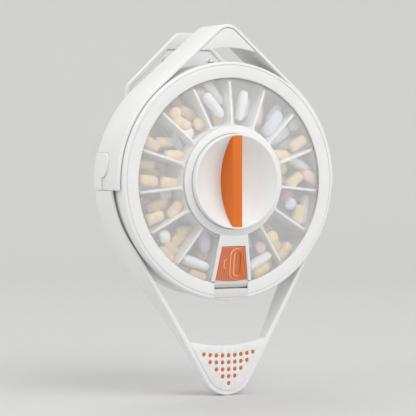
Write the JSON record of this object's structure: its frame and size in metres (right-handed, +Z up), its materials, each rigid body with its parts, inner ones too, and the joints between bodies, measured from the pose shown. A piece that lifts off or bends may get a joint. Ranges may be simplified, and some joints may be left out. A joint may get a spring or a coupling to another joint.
{
  "type": "travel pill organizer",
  "caption": "Round travel pill organizer: a knob turns a tray of sector compartments under a frosted cover, with a hinged orange dispensing door, hanging loop, pointed foot and strap clip.",
  "frame": {"origin": "on the tray's axis, at the flat rear face of the case", "axes": "+Z up through the hanging loop, -Y out of the front towards the knob, +X to the right seen from the front"},
  "size_m": [0.1704, 0.0734, 0.2506],
  "materials": {
    "white_plastic": "satin moulded white polypropylene",
    "tray_plastic": "satin moulded pale grey-white",
    "frosted_plastic": "frosted translucent moulding",
    "orange_plastic": "satin burnt orange",
    "steel": "fine turned steel",
    "seal_rubber": "soft matt grey"
  },
  "bodies": {
    "housing": {"rear_shell": "white_plastic", "upper_loop": "white_plastic", "top_web": "white_plastic", "lower_loop": "white_plastic", "tip_plate": "white_plastic", "tip_grip": "orange_plastic", "spindle": "steel", "thrust_washer": "seal_rubber", "detent_leaf": "steel", "detent_screw": "steel", "seal_ring": "seal_rubber", "clip_block_left": "white_plastic", "clip_block_right": "white_plastic", "block_screw_1": "steel", "block_screw_2": "steel", "block_screw_3": "steel", "block_screw_4": "steel", "clip_pin": "steel", "clip_spring": "steel"},
    "cover": {"cover_bezel": "white_plastic", "cover_window": "frosted_plastic", "knob_collar": "white_plastic", "door_frame": "white_plastic", "chute_window": "frosted_plastic", "door_pin": "steel"},
    "door": {"door_flap": "orange_plastic"},
    "knob": {"knob_body": "white_plastic", "knob_grip": "orange_plastic", "knob_retainer": "steel", "grip_screw_top": "steel", "grip_screw_bottom": "steel"},
    "carousel": {"carousel_tray": "tray_plastic", "index_wheel": "tray_plastic"},
    "button_left": {"side_button_left": "white_plastic"},
    "button_right": {"side_button_right": "white_plastic"},
    "clip": {"clip_frame": "white_plastic", "clip_panel": "frosted_plastic", "clip_screw_1": "steel", "clip_screw_2": "steel", "clip_screw_3": "steel", "clip_screw_4": "steel"}
  },
  "joints": [
    {"name": "cover_pull", "type": "slide", "parent": "housing", "child": "cover", "axis": [0, -1, 0], "range_m": [0, 0.014]},
    {"name": "carousel_turn", "type": "hinge", "parent": "housing", "child": "carousel", "pos_m": [0, 0, 0], "axis": [0, 1, 0], "continuous": true},
    {"name": "knob_turn", "type": "hinge", "parent": "cover", "child": "knob", "pos_m": [0, 0, 0], "axis": [0, 1, 0], "continuous": true},
    {"name": "door_hinge", "type": "hinge", "parent": "cover", "child": "door", "pos_m": [0, -0.0334, -0.0703], "axis": [1, 0, 0], "range_deg": [0, 75]},
    {"name": "left_button_press", "type": "slide", "parent": "housing", "child": "button_left", "axis": [1, 0, 0], "range_m": [0, 0.0015], "stiffness_N_per_m": 400},
    {"name": "right_button_press", "type": "slide", "parent": "housing", "child": "button_right", "axis": [-1, 0, 0], "range_m": [0, 0.0015], "stiffness_N_per_m": 400},
    {"name": "clip_swing", "type": "hinge", "parent": "housing", "child": "clip", "pos_m": [0, 0.012, -0.008], "axis": [1, 0, 0], "range_deg": [-15, 12], "stiffness_Nm_per_rad": 1.5}
  ],
  "couplings": [
    {"joint": "knob_turn", "follows": "carousel_turn", "ratio": 1}
  ]
}
